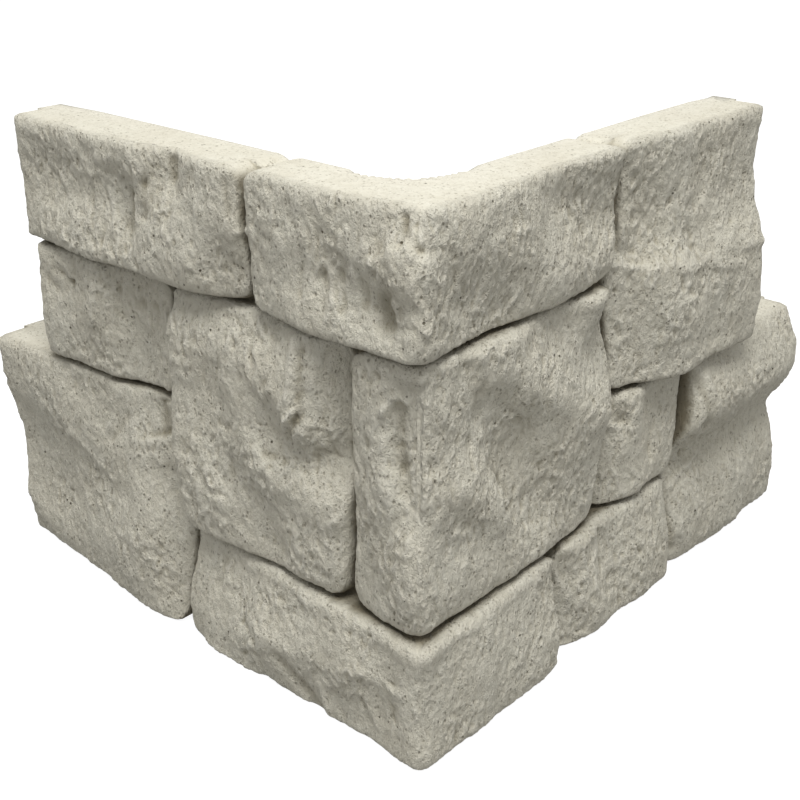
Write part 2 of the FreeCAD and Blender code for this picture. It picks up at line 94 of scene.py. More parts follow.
# Light, stage and camera. The camera was found from the photograph's vanishing points, with the
# piece 200 mm high.
WORLD_LIGHT = 0.53
FLOOR_GREY = 0.3           # how much light the floor throws on the piece
FLOOR_GLOW = 0.93          # what makes the floor white to the camera but for the shadow
FLOOR_REACH = 6.0
LAMP_PLACE = Vector((-0.33, -0.33, 1.42))
LAMP_SIZE = 0.6
LAMP_POWER = 15
CAMERA_PLACE = Vector((-0.28223, -0.24361, 0.29973))
CAMERA_TURN = math.radians(-48.66)
CAMERA_RISE = math.radians(25.01)
CAMERA_ROLL = math.radians(0.135)
SENSOR_WIDTH = 36               # in millimetres
FOCAL_SHARE = 1225.7 / 800      # focal length as a share of the picture's width

# Seams of the eleven stones as wing, start, end, foot and head, in millimetres. A corner stone
# starts on the left wing, where its place is negative, and ends on the right one.
STONES = {
    "top left": ("left", 54, 183, 150, 200),
    "second left": ("left", 99, 178, 100, 150),
    "lower left": ("left", 99, 215, 0, 100),
    "middle left": ("left", 9.5, 99, 50, 150),
    "top corner": ("corner", -54, 88.5, 150, 200),
    "middle corner": ("corner", -9.5, 88.5, 50, 150),
    "bottom corner": ("corner", -99, 58, 0, 50),
    "top right": ("right", 88.5, 187, 100, 200),
    "small right": ("right", 88.5, 145, 50, 100),
    "bottom right": ("right", 58, 145, 0, 50),
    "big right": ("right", 145, 240, 0, 100),
}

# The two seams that reach the top, in millimetres
HEAD_SEAMS = [("left", -STONES["top corner"][1]), ("right", STONES["top corner"][2])]

# How far the heads of some stones stand out under the joint above, in millimetres
HEAD_LIFTS = {
    "middle left": 1.5,
    "middle corner": 1.2,
    "bottom corner": 1.3,
    "small right": 0.8,
    "bottom right": 0.9,
}

# Marks of the split faces that are finer than the solid: wing, start and end as places along
# the wing and up, half width and rise, all in millimetres. A negative rise is a dent.
MARKS = [
    # Top corner stone: dents below its top edge, the scoop beside the corner and upright grooves
    ("left", -18, 196, -18, 193, 1.8, -1.7),
    ("left", -12, 195, -12, 194, 1.2, -0.7),
    ("left", -7, 187, -8, 184, 2.0, -1.1),
    ("left", 16, 187, 15, 186, 1.3, -0.9),
    ("left", -20, 184, -22, 184, 0.9, -0.9),
    ("left", -5, 182, -19, 188, 1.2, 0.9),
    ("left", -20, 186, -33, 176, 2.4, 0.9),
    ("left", -10, 178, -12, 171, 4.5, -0.9),
    ("left", -10, 167, -11, 163, 3.2, -1.9),
    ("left", -14, 170, -16, 165, 1.2, 0.9),
    ("left", -20, 160, -27, 163, 1.5, 0.9),
    ("left", 26, 173, 26, 164, 1.3, -0.8),
    ("left", 17, 172, 16, 166, 1.3, -0.7),
    ("left", 9, 174, 8, 163, 1.3, -0.9),
    ("left", 0, 173, 0, 166, 1.2, -0.7),
    ("left", 5, 174, 4, 167, 1.6, 0.8),
    ("left", 13, 173, 12, 164, 1.5, 0.7),
    ("left", 21, 177, 23, 162, 1.6, 0.6),
    ("left", -4, 166, -4, 165, 0.7, -0.7),
    ("left", -1, 182, -1, 182, 0.7, -0.7),
    ("left", -25, 188, -27, 188, 0.9, -1.2),
    ("left", -24, 195, -23, 189, 1.1, -0.9),
    ("left", 24, 187, 24, 182, 1.2, 0.7),
    # Middle corner stone: the hooked ridge at the corner, the dark groove below it and its knobs
    ("left", -8, 131, -14, 138, 1.1, 1.3),
    ("left", -14, 138, -20, 136, 1.1, 1.2),
    ("left", -16, 132, -17, 116, 2.6, -1.2),
    ("left", -18, 112, -19, 104, 2.2, -0.9),
    ("left", -8, 121, -11, 103, 1.6, 1.0),
    ("left", 0, 119, 0, 117, 1.6, -1.1),
    ("left", -5, 144, -6, 143, 1.4, -0.9),
    ("left", -5, 138, -13, 142, 1.2, 0.7),
    ("right", -15, 137, -6, 123, 3.0, 0.8),
    ("right", 0, 147, 9, 126, 3.0, -0.9),
    ("right", 12, 116, 4, 105, 1.3, 1.1),
    ("right", 19, 102, 27, 89, 3.0, -1.1),
    ("right", 25, 82, 31, 81, 1.0, -1.3),
    ("right", 33, 86, 33, 85, 0.8, -0.9),
    ("right", 23, 95, 23, 94, 0.8, -0.8),
    ("right", -4, 103, 21, 78, 2.6, 0.9),
    ("right", 29, 127, 84, 98, 3.2, 0.7),
    ("right", 11, 135, 34, 112, 3.0, -0.8),
    # Middle left stone: flakes, the edge of its smooth recess, the notch and the dents of its rim
    ("left", 15, 110, 5, 106, 0.7, -1.0),
    ("left", 91, 89, 90, 86, 1.6, -1.1),
    ("left", 88, 90, 79, 75, 1.4, -0.9),
    ("left", 77, 84, 77, 84, 0.9, -0.8),
    ("left", 73, 102, 67, 103, 1.2, -0.9),
    ("left", 31, 144, 32, 125, 1.2, 0.9),
    ("left", 28, 144, 28, 118, 1.8, -1.2),
    ("left", 30, 121, 37, 111, 1.0, 1.1),
    ("left", 28, 119, 35, 108, 1.1, -1.2),
    ("left", 26, 117, 17, 115, 0.8, 0.9),
    ("left", 47, 99, 38, 98, 1.3, -1.2),
    ("left", 44, 95, 44, 95, 0.7, -1.1),
    ("left", 24, 106, 10, 101, 0.8, -1.0),
    ("left", 63, 119, 32, 102, 4.5, 1.2),
    # Lower left stone: the hollow under its top band, and the upright dents beside it
    ("left", 113, 93, 110, 87, 3.4, -1.5),
    ("left", 121, 80, 102, 87, 1.0, -1.1),
    ("left", 120, 78, 103, 83, 1.4, 0.9),
    ("left", 132, 86, 141, 73, 1.8, -1.1),
    ("left", 143, 84, 147, 77, 1.6, -0.9),
    ("left", 139, 91, 144, 76, 1.4, 0.6),
    ("left", 114, 96, 107, 99, 0.8, -0.8),
    ("left", 169, 67, 142, 54, 1.8, 0.7),
    # Top left stone: the pair of upright grooves, the dent beside them and the flake at its end
    ("left", 113, 180, 115, 168, 2.4, -1.3),
    ("left", 103, 186, 104, 174, 1.7, -1.1),
    ("left", 109, 180, 109, 171, 1.0, 0.8),
    ("left", 90, 197, 91, 190, 1.9, -1.4),
    ("left", 103, 187, 93, 196, 1.5, -0.7),
    ("left", 124, 180, 123, 166, 1.4, 0.9),
    ("left", 119, 167, 120, 157, 1.2, 0.7),
    ("left", 127, 166, 129, 159, 1.0, -0.9),
    ("left", 60, 194, 59, 184, 1.7, -1.1),
    ("left", 56, 178, 50, 180, 0.9, 0.9),
    ("left", 159, 198, 157, 198, 2.2, -0.8),
    ("left", 112, 198, 113, 193, 1.8, -0.8),
    ("left", 140, 197, 135, 192, 3.6, -0.8),
    ("left", 165, 184, 165, 184, 0.8, -1.2),
    ("left", 77, 195, 80, 191, 1.5, -0.8),
    ("left", 152, 179, 121, 190, 3.4, 0.8),
    ("left", 110, 155, 110, 154, 1.2, -0.7),
    ("left", 102, 163, 100, 164, 1.4, -0.7),
    ("left", 135, 164, 136, 162, 1.8, -0.8),
    ("left", 77, 171, 77, 170, 0.9, -0.8),
    ("left", 78, 160, 77, 160, 0.9, -0.7),
    ("left", 74, 186, 74, 177, 1.4, 0.6),
    ("left", 67, 189, 67, 179, 1.2, 0.6),
    ("left", 86, 178, 88, 169, 1.3, 0.6),
    # Second left stone: the slit near its end and upright ridges
    ("left", 157, 137, 157, 135, 0.8, -1.3),
    ("left", 163, 140, 158, 137, 0.9, -0.9),
    ("left", 171, 136, 165, 132, 1.5, -0.9),
    ("left", 159, 147, 158, 143, 1.2, 0.8),
    ("left", 120, 136, 120, 135, 1.3, -1.0),
    ("left", 140, 138, 144, 123, 1.3, 0.8),
    ("left", 114, 142, 117, 128, 1.3, 0.8),
    ("left", 103, 142, 99, 131, 1.2, 0.7),
    ("left", 130, 140, 130, 129, 1.5, -0.7),
    # Top right stone: its shaded start, the crest of its lower half, pits and upright ridges
    ("right", 102, 180, 102, 180, 1.0, -1.5),
    ("right", 122, 174, 122, 173, 0.6, -0.7),
    ("right", 163, 157, 164, 157, 0.9, -0.9),
    ("right", 103, 171, 103, 170, 1.4, -0.9),
    ("right", 133, 160, 136, 156, 2.2, -1.0),
    ("right", 133, 153, 135, 153, 1.0, -1.1),
    ("right", 176, 173, 177, 170, 1.4, -0.8),
    ("right", 163, 172, 164, 170, 1.6, -0.7),
    ("right", 176, 164, 177, 162, 1.5, -0.7),
    ("right", 89, 155, 110, 149, 1.4, 1.2),
    ("right", 111, 151, 168, 139, 1.8, 0.9),
    ("right", 171, 146, 203, 144, 1.8, 0.9),
    ("right", 90, 190, 93, 161, 3.0, -1.7),
    ("right", 83, 150, 86, 134, 2.6, -0.9),
    ("right", 94, 144, 94, 144, 0.7, -1.2),
    ("right", 129, 138, 129, 137, 1.2, -0.9),
    ("right", 122, 144, 123, 139, 1.2, -0.9),
    ("right", 161, 129, 161, 125, 2.2, -0.9),
    ("right", 135, 131, 135, 129, 1.9, -0.8),
    ("right", 183, 121, 182, 108, 1.4, 0.9),
    ("right", 189, 132, 187, 119, 1.4, 0.7),
    ("right", 142, 134, 143, 120, 1.2, 0.8),
    ("right", 116, 135, 117, 119, 1.4, 0.8),
    # Small right stone: upright edges beside its shaded margin
    ("right", 107, 93, 108, 80, 2.2, 0.5),
    ("right", 102, 81, 100, 59, 1.6, 0.8),
    ("right", 94, 100, 102, 87, 2.6, -1.1),
    ("right", 94, 88, 105, 84, 0.9, 0.8),
    ("right", 120, 58, 121, 57, 0.8, -0.9),
    ("right", 130, 84, 131, 82, 1.2, -0.8),
    ("right", 102, 58, 103, 56, 1.6, 0.8),
    ("right", 123, 77, 124, 65, 1.4, -0.6),
    # Big right stone: its shaded start, pits below its bulge and the edge under it
    ("right", 153, 71, 154, 70, 0.9, -1.4),
    ("right", 158, 52, 159, 50, 1.0, -1.4),
    ("right", 179, 52, 180, 51, 1.3, -1.3),
    ("right", 138, 44, 138, 44, 1.0, -1.0),
    ("right", 200, 62, 200, 60, 1.2, -1.0),
    ("right", 152, 63, 156, 62, 1.1, -0.9),
    ("right", 146, 39, 175, 49, 1.1, 1.0),
    ("right", 176, 50, 226, 55, 0.9, 0.7),
    ("right", 150, 93, 158, 67, 1.8, -1.2),
    ("right", 156, 91, 165, 68, 1.1, 0.9),
    ("right", 194, 67, 195, 58, 1.2, -0.7),
    ("right", 193, 25, 195, 3, 1.8, -0.7),
    ("right", 205, 36, 205, 9, 1.8, 0.7),
    ("right", 141, 42, 148, 10, 2.4, -1.4),
    # Bottom right stone: pits and the ridge near its start
    ("right", 113, 27, 114, 25, 0.9, -1.2),
    ("right", 57, 48, 57, 46, 1.1, -1.0),
    ("right", 99, 47, 99, 47, 0.8, -0.8),
    ("right", 59, 42, 67, 24, 1.3, 1.0),
    ("right", 82, 24, 87, 12, 1.5, 0.8),
    ("right", 90, 40, 89, 26, 1.6, -0.7),
    # Bottom corner stone: the edge of its light upper band, the hollow below and pits
    ("left", 17, 43, 16, 43, 0.6, -0.9),
    ("left", -3, 45, -4, 45, 0.7, -1.1),
    ("left", -14, 31, -15, 31, 0.7, -1.0),
    ("left", -14, 17, -15, 16, 0.9, -1.1),
    ("left", 13, 40, 12, 40, 0.6, -0.8),
    ("left", 96, 11, 96, 11, 0.7, -0.8),
    ("left", 61, 7, 59, 9, 1.1, -1.2),
    ("left", 53, 12, 51, 12, 1.1, -1.0),
    ("left", 37, 23, 37, 23, 0.7, -0.8),
    ("left", -14, 21, -14, 20, 1.4, -0.9),
    ("left", 8, 5, 8, 4, 1.8, -0.8),
    ("left", 39, 17, 22, 2, 2.6, -1.3),
    ("left", 20, 15, 16, 3, 1.4, 0.9),
    ("left", 49, 22, 36, 23, 1.8, 1.0),
    ("left", 61, 21, 54, 19, 1.8, -0.9),
    ("left", 84, 3, 54, 0, 1.0, 0.8),
    ("left", -26, 38, -31, 14, 2.8, -0.6),
    ("left", 1, 29, -20, 29, 1.8, 0.9),
    ("left", -3, 18, -8, 8, 0.9, 0.7),
    ("left", 30, 46, 24, 45, 1.6, 0.7),
]


# Noise fields on arrays of points

def hashed_unit(cells, seed):
    """A repeatable value from 0 to 1 for each lattice cell. The large numbers only mix the bits."""
    x, y, z = (cells[:, axis].astype(np.int64) for axis in range(3))
    value = (x * 73856093) ^ (y * 19349663) ^ (z * 83492791) ^ (seed * 2654435761)
    value = (value ^ (value >> 13)) * 1274126177
    highest = 0x7FFFFFFF
    return ((value ^ (value >> 16)) & highest) / float(highest)


def gradient_noise(points, seed):
    """Smooth noise between about -1 and 1, one value for each point."""
    base = np.floor(points)
    local = points - base
    fade = local ** 3 * (local * (local * 6 - 15) + 10)
    total = np.zeros(len(points))
    for corner in np.ndindex(2, 2, 2):
        offset = np.array(corner)
        cells = base + offset
        turn = hashed_unit(cells, seed) * 2 * math.pi
        rise = hashed_unit(cells, seed + 101) * 2 - 1
        flat = np.sqrt(1 - rise * rise)
        delta = local - offset
        slope = delta[:, 0] * np.cos(turn) * flat
        slope += delta[:, 1] * np.sin(turn) * flat
        slope += delta[:, 2] * rise
        share = np.prod(np.where(offset == 1, fade, 1 - fade), axis=1)
        total += share * slope
    return total * 1.6


def layered_noise(points, size, seed, layers=2, keep=0.5):
    """Sum of ever finer noise, the coarsest with features of the given size."""
    total = np.zeros(len(points))
    strength = 1.0
    for layer in range(layers):
        total += strength * gradient_noise(points / size * 2 ** layer, seed + layer)
        strength *= keep
    return total


def nearest_scattered(points, size, seed):
    """Distance to the nearest scattered point, in cell sizes, and a value that belongs to it."""
    scaled = points / size
    base = np.floor(scaled)
    nearest = np.full(len(points), np.inf)
    value = np.zeros(len(points))
    for step in np.ndindex(3, 3, 3):
        cells = base + np.array(step) - 1
        jitter = np.stack([hashed_unit(cells, seed + axis) for axis in range(3)], axis=1)
        away = np.linalg.norm(cells + jitter - scaled, axis=1)
        value = np.where(away < nearest, hashed_unit(cells, seed + 7), value)
        nearest = np.minimum(nearest, away)
    return nearest, value


def smooth_step(low, high, value):
    share = np.clip((value - low) / (high - low), 0, 1)
    return share * share * (3 - 2 * share)


def at_least(least, share):
    """A share from 0 to 1 raised so that it runs from the least value to 1."""
    return least + (1 - least) * share


# Mesh helpers

def read_points(mesh):
    flat = np.empty(len(mesh.vertices) * 3)
    mesh.vertices.foreach_get("co", flat)
    return flat.reshape(-1, 3)


def read_normals(mesh):
    flat = np.empty(len(mesh.vertices) * 3)
    mesh.vertex_normals.foreach_get("vector", flat)
    return flat.reshape(-1, 3)


def write_points(mesh, points):
    mesh.vertices.foreach_set("co", points.astype(np.float32).ravel())
    mesh.update()


def neighbour_mean(mesh):
    """A function that averages an array of values over each vertex's neighbours."""
    edges = np.empty(len(mesh.edges) * 2, np.int64)
    mesh.edges.foreach_get("vertices", edges)
    one, other = edges.reshape(-1, 2).T
    size = len(mesh.vertices)
    count = np.bincount(one, minlength=size) + np.bincount(other, minlength=size)
    count = np.maximum(count, 1)

    def mean(values):
        columns = values.reshape(size, -1)
        summed = np.stack([
            np.bincount(one, weights=column[other], minlength=size)
            + np.bincount(other, weights=column[one], minlength=size)
            for column in columns.T], axis=1)
        return (summed / count[:, None]).reshape(values.shape)
    return mean


def with_modifier(obj, kind, **settings):
    """Applies one modifier to the object's mesh."""
    modifier = obj.modifiers.new(kind.title(), kind)
    for name, value in settings.items():
        setattr(modifier, name, value)
    graph = bpy.context.evaluated_depsgraph_get()
    made = bpy.data.meshes.new_from_object(obj.evaluated_get(graph))
    obj.modifiers.clear()
    obj.data = made


# The stone faces in wing coordinates: along a wing, up, and out from the back

def wing_places(points):
    """Whether each point is on the left wing, and how far along, up and out it lies."""
    left = points[:, 0] < points[:, 1]
    along = np.where(left, points[:, 1], points[:, 0])
    out = np.where(left, -points[:, 0], -points[:, 1])
    return left, along, points[:, 2], out


def outward_share(points, normals):
    """How squarely each normal points out from its wing: 1 is straight out."""
    left = wing_places(points)[0]
    return np.where(left, -normals[:, 0], -normals[:, 1])


def unrolled(left, along):
    """Place along the faces unrolled round their outer corner: the left wing is negative."""
    beyond = along + FACE_DEPTH
    return np.where(left, -beyond, beyond)


def face_places(points):
    """Places on the unrolled faces and up, fanned beyond the wall corner so that they meet there."""
    left, along, level, out = wing_places(points)
    fanned = np.where(along < 0, along * FACE_DEPTH / np.maximum(out, MM), along)
    return np.stack([unrolled(left, fanned), level], axis=1)


def face_weight(points, normals):
    """1 on the rough stone faces, 0 on the flat back, top, bottom and ends."""
    out = wing_places(points)[3]
    in_front = smooth_step(FLAT_DEPTH, FLAT_DEPTH + 4 * MM, out)
    return in_front * smooth_step(0.1, 0.55, outward_share(points, normals))


def joint_distance(points, normals):
    """How far each point in front of the wall is from the nearest open joint, seen from the front."""
    out = wing_places(points)[3]
    place = face_places(points)
    floor = (np.abs(out - FLAT_DEPTH) < 0.1 * MM) & (outward_share(points, normals) > 0.9)
    grid = 0.5 * MM
    open_places = np.unique(np.round(place[floor] / grid), axis=0) * grid
    tree = KDTree(len(open_places))
    for index, (across, height) in enumerate(open_places):
        tree.insert((across, height, 0), index)
    tree.balance()
    far = 50 * MM
    distance = np.full(len(points), far)
    for index in np.flatnonzero(out > FLAT_DEPTH - 2 * MM):
        distance[index] = tree.find((place[index, 0], place[index, 1], 0))[2]
    return distance


def inside_outline(points):
    """How far each point lies below the top and before the ends of the wings."""
    left, along, level, out = wing_places(points)
    reach = np.zeros(len(points))
    for wing, start, end, foot, head in STONES.values():
        if wing != "corner":
            here = (left == (wing == "left")) & (level >= foot * MM) & (level <= head * MM)
            reach = np.where(here, np.maximum(reach, end * MM), reach)
    return np.minimum(reach - along, CAD_HIGH.z - level)


def stone_numbers(points):
    """Which stone each point belongs to, by its place in the list."""
    left, along, level, out = wing_places(points)
    reach = np.where(left, -along, along) / MM
    level = level / MM
    number = np.zeros(len(points), int)
    nearest = np.full(len(points), -np.inf)
    for index, (wing, start, end, foot, head) in enumerate(STONES.values()):
        low, high = (-end, -start) if wing == "left" else (start, end)
        inside = np.minimum.reduce([reach - low, high - reach, level - foot, head - level])
        number = np.where(inside > nearest, index, number)
        nearest = np.maximum(nearest, inside)
    return number


# The top beside its two seams

def head_groove(points):
    """How far the top of the wall dips where a joint crosses it."""
    left, along, level, out = wing_places(points)
    near_top = smooth_step(CAD_HIGH.z - 6 * MM, CAD_HIGH.z, level)
    drop = np.zeros(len(points))
    for wing, seam in HEAD_SEAMS:
        same_wing = left if wing == "left" else ~left
        share = np.clip(1 - np.abs(along - seam * MM) / HEAD_REACH, 0, 1)
        drop += same_wing * HEAD_REACH * (1 - np.sqrt(1 - share * share / 2))
    return drop * near_top * (1 - smooth_step(FLAT_DEPTH, FLAT_DEPTH + 3 * MM, out))


def cut_beside_head_seams(mesh):
    """Rows of edges over the top and the back beside the seams, so that the top can dip there."""
    work = bmesh.new()
    work.from_mesh(mesh)
    top = CAD_HIGH.z - 0.01 * MM
    along_x, along_y = Vector((1, 0, 0)), Vector((0, 1, 0))
    for wing, seam in HEAD_SEAMS:
        run, across = (along_y, along_x) if wing == "left" else (along_x, along_y)
        for share in (-1, -0.6, -0.3, 0, 0.3, 0.6, 1):
            faces = [
                face for face in work.faces
                if (face.normal.z > 0.99 and face.calc_center_median().z > top)
                or face.normal.dot(across) > 0.99]
            parts = {part for face in faces for part in (face, *face.edges, *face.verts)}
            bmesh.ops.bisect_plane(
                work, geom=list(parts), dist=0.001 * MM, plane_no=run,
                plane_co=run * (seam * MM + share * HEAD_REACH))
    bmesh.ops.triangulate(work, faces=[face for face in work.faces if len(face.verts) > 3])
    work.to_mesh(mesh)
    work.free()


# Height of the split surface over the smoothed facets

def mark_depth(points):
    """Height of the listed marks, in metres."""
    place = face_places(points) / MM
    depth = np.zeros(len(points))
    for wing, from_along, from_level, to_along, to_level, width, rise in MARKS:
        ends = unrolled(wing == "left", np.array([from_along, to_along]) * MM) / MM
        start = np.array([ends[0], from_level])
        run = np.array([ends[1], to_level]) - start
        near = np.abs(place - start - run / 2).max(axis=1) < np.abs(run).max() + 4 * width
        away = place[near] - start
        share = np.clip(away @ run / max(run @ run, 1e-6), 0, 1)
        distance = np.linalg.norm(away - share[:, None] * run, axis=1) / width
        depth[near] += rise * MM * np.exp(-0.5 * distance * distance)
    return depth


def head_lift(points, number):
    """Height of the light band along the heads of the stones that stand out there, in metres."""
    names = list(STONES)
    lift = np.zeros(len(points))
    for name, rise in HEAD_LIFTS.items():
        head = STONES[name][4]
        below = head - points[:, 2] / MM
        lift += (number == names.index(name)) * rise * MM * np.exp(-((below - 3) / 3) ** 2)
    return lift


def rough_stone(points, number):
    """Height of the split, chalky surface over the plain face, in metres."""
    shifted = points + number[:, None] * ROUGH_SHIFT
    bend = [layered_noise(shifted, BEND_SIZE, BEND_SEED + axis) for axis in range(3)]
    bent = shifted + BEND_HEIGHT * np.stack(bend, axis=1)
    streaked = bent * STREAK
    rough = 0.45 + 0.75 * smooth_step(-0.35, 0.45, gradient_noise(shifted / ROUGH_PATCH, ROUGH_SEED))
    fluted = smooth_step(-0.1, 0.4, gradient_noise(shifted / FLUTED_PATCH, FLUTED_SEED))
    ridges = np.abs(gradient_noise(streaked / RIDGE_SIZE, RIDGE_SEED))
    flutes = np.abs(gradient_noise(bent * FLUTE_STREAK / FLUTE_SIZE, FLUTE_SEED))
    depth = WAVE_HEIGHT * layered_noise(streaked, WAVE_SIZE, WAVE_SEED)
    depth += RIDGE_HEIGHT * rough * (RIDGE_MEAN - ridges)
    depth += GRAIN_HEIGHT * rough * layered_noise(streaked, GRAIN_SIZE, GRAIN_SEED, keep=0.7)
    depth += FLUTE_HEIGHT * fluted * (flutes - RIDGE_MEAN)
    return depth


def pit_share(points, number, size, share, seed):
    """Small round holes scattered over the stone, 0 outside and 1 in the middle of the deepest."""
    near, value = nearest_scattered(points + number[:, None] * PIT_SHIFT, size, seed)
    radius = 0.10 + 0.20 * value
    return (value < share) * smooth_step(0, 1, 1 - near / radius)


def calmness(points, gap):
    """Share of the roughness that is kept beside the joints, the top and the floor."""
    beside_joint = at_least(0.35, smooth_step(0.5 * MM, 5 * MM, gap))
    below_top = at_least(0.5, smooth_step(0, 4 * MM, CAD_HIGH.z - points[:, 2]))
    above_floor = at_least(0.4, smooth_step(0, 4 * MM, points[:, 2] - CAD_LOW.z))
    return beside_joint * below_top * above_floor


# The piece

def smooth_facets(mesh, mean, gap):
    """Smooths the solid's facets on the stone faces, less beside the joints, and hardly elsewhere."""
    points = read_points(mesh)
    weight = mean(mean(face_weight(points, read_normals(mesh))))
    inner = at_least(0.25, smooth_step(1 * MM, 5 * MM, gap))
    soften = (np.clip(weight, 0.03, 1) * inner)[:, None]
    for _ in range(SMOOTH_PASSES):
        points += (mean(points) - points) * SMOOTH_SHARE * soften
    write_points(mesh, points)


def surface_shades(points, moved, normals, marks, gap, mean):
    """Values from 0 to 1 that tell the material where to put stain and painted shade in hollows,
    painted shade in joints and dents, and a painted highlight on ridges.
    """
    wide = moved
    for _ in range(14):
        wide = mean(wide)
    hollow = np.einsum("ij,ij->i", mean(moved) - moved, normals) / (0.12 * MM)
    broad = np.einsum("ij,ij->i", wide - moved, normals) / (0.8 * MM)
    out = wing_places(points)[3]
    joint = (1 - smooth_step(0.2 * MM, 1.6 * MM, gap)) * smooth_step(8 * MM, 12 * MM, out)
    return {
        # Hollows for brown stain with painted shade, ridges for a painted highlight, joints and dents
        # for painted shade
        "crevice": np.clip(hollow, 0, 1) * 0.4 + np.clip(broad, 0, 1) * 0.6,
        "painted_highlight": np.clip(-broad, 0, 1) * 0.6 + np.clip(-hollow, 0, 1) * 0.4,
        "joint": joint * smooth_step(1 * MM, 6 * MM, inside_outline(points)),
        "dent": smooth_step(0.5 * MM, 1.8 * MM, -marks),
    }


def roughen(mesh, mean, gap):
    """Moves the smoothed facets out and in to the split surface, and notes its shades."""
    points = read_points(mesh)
    normals = read_normals(mesh)
    number = stone_numbers(points)
    weight = face_weight(points, normals)
    for _ in range(4):
        weight = mean(weight)
    calm = calmness(points, gap)
    marks = mark_depth(points) * weight
    pits = pit_share(points, number, 8 * MM, 0.5, PIT_SEED)
    pits += 0.6 * pit_share(points, number, 4.5 * MM, 0.45, SMALL_PIT_SEED)
    depth = rough_stone(points, number) * calm * at_least(0.08, weight)
    depth += marks + head_lift(points, number) * weight
    depth -= PIT_DEPTH * pits * calm * at_least(0.12, weight)
    moved = points + normals * depth[:, None]
    moved[:, 2] -= head_groove(points)
    moved = np.clip(moved, np.array(CAD_LOW), np.array(CAD_HIGH))
    write_points(mesh, moved)

    shades = surface_shades(points, moved, normals, marks, gap, mean)
    shades["face"] = weight
    for name, values in shades.items():
        layer = mesh.attributes.new(name, "FLOAT", "POINT")
        layer.data.foreach_set("value", values.astype(np.float32))


def build_piece():
    """The cast piece: the solid's facets split finely, smoothed, roughened and thinned out again."""
    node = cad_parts["corner_piece"]
    piece = bpy.data.objects.new("cast_stone", node.data.copy())
    bpy.context.scene.collection.objects.link(piece)
    with_modifier(piece, "WELD", merge_threshold=0.001 * MM)
    cut_beside_head_seams(piece.data)
    with_modifier(piece, "SUBSURF", subdivision_type="SIMPLE", levels=SPLITS)
    mesh = piece.data
    gap = joint_distance(read_points(mesh), read_normals(mesh))
    mean = neighbour_mean(mesh)
    smooth_facets(mesh, mean, gap)
    roughen(mesh, mean, gap)
    triangles = 2 * len(mesh.polygons)
    with_modifier(piece, "DECIMATE", ratio=min(1, TRIANGLES / triangles), use_collapse_triangulate=True)
    piece.data.polygons.foreach_set("use_smooth", np.ones(len(piece.data.polygons), bool))
    piece.data.materials.clear()
    piece.data.materials.append(stone_material())
    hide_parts("corner_piece")
    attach(piece, "root")


# Materials

class Nodes:
    """Short calls for building the node tree of a material or of the world."""

    def __init__(self, owner):
        owner.use_nodes = True
        self.tree = owner.node_tree
        self.tree.nodes.clear()

    def add(self, kind, **settings):
        node = self.tree.nodes.new(kind)
        for key, value in settings.items():
            setattr(node, key, value)
        return node

    def link(self, source, target):
        self.tree.links.new(source, target)

    def put(self, socket, value):
        if isinstance(value, bpy.types.NodeSocket):
            self.link(value, socket)
        else:
            socket.default_value = value

    def attribute(self, name):
        return self.add("ShaderNodeAttribute", attribute_name=name).outputs["Fac"]

    def noise(self, where, scale, detail=2, roughness=0.55):
        node = self.add("ShaderNodeTexNoise")
        self.put(node.inputs["Vector"], where)
        self.put(node.inputs["Scale"], scale)
        self.put(node.inputs["Detail"], detail)
        self.put(node.inputs["Roughness"], roughness)
        return node.outputs["Fac"]

    def dots(self, where, scale, core, rim):
        """Round dots, one in each cell: 1 nearer than the core and 0 farther than the rim."""
        node = self.add("ShaderNodeTexVoronoi", feature="F1")
        self.put(node.inputs["Vector"], where)
        self.put(node.inputs["Scale"], scale)
        return self.spread(node.outputs["Distance"], core, rim, 1.0, 0.0)

    def spread(self, value, low, high, new_low=0.0, new_high=1.0):
        node = self.add("ShaderNodeMapRange")
        for name, number in (("Value", value), ("From Min", low), ("From Max", high),
                             ("To Min", new_low), ("To Max", new_high)):
            self.put(node.inputs[name], number)
        return node.outputs["Result"]

    def math(self, operation, one, other):
        node = self.add("ShaderNodeMath", operation=operation)
        self.put(node.inputs[0], one)
        self.put(node.inputs[1], other)
        return node.outputs[0]

    def times(self, one, other):
        return self.math("MULTIPLY", one, other)

    def mix(self, share, one, other):
        node = self.add("ShaderNodeMix", data_type="RGBA")
        self.put(node.inputs["Factor"], share)
        self.put(node.inputs["A"], one)
        self.put(node.inputs["B"], other)
        return node.outputs["Result"]

    def seen(self):
        """1 on the camera's rays, also where they come by a mirror or through something clear."""
        path = self.add("ShaderNodeLightPath")
        seen = self.math("MAXIMUM", path.outputs["Is Camera Ray"], path.outputs["Is Glossy Ray"])
        return self.math("MAXIMUM", seen, path.outputs["Is Transmission Ray"])


def linear(red, green, blue):
    """Linear colour with alpha from the 0 to 255 values of a screen colour."""
    def one(value):
        value /= 255
        return value / 12.92 if value <= 0.04045 else ((value + 0.055) / 1.055) ** 2.4
    return (one(red), one(green), one(blue), 1.0)


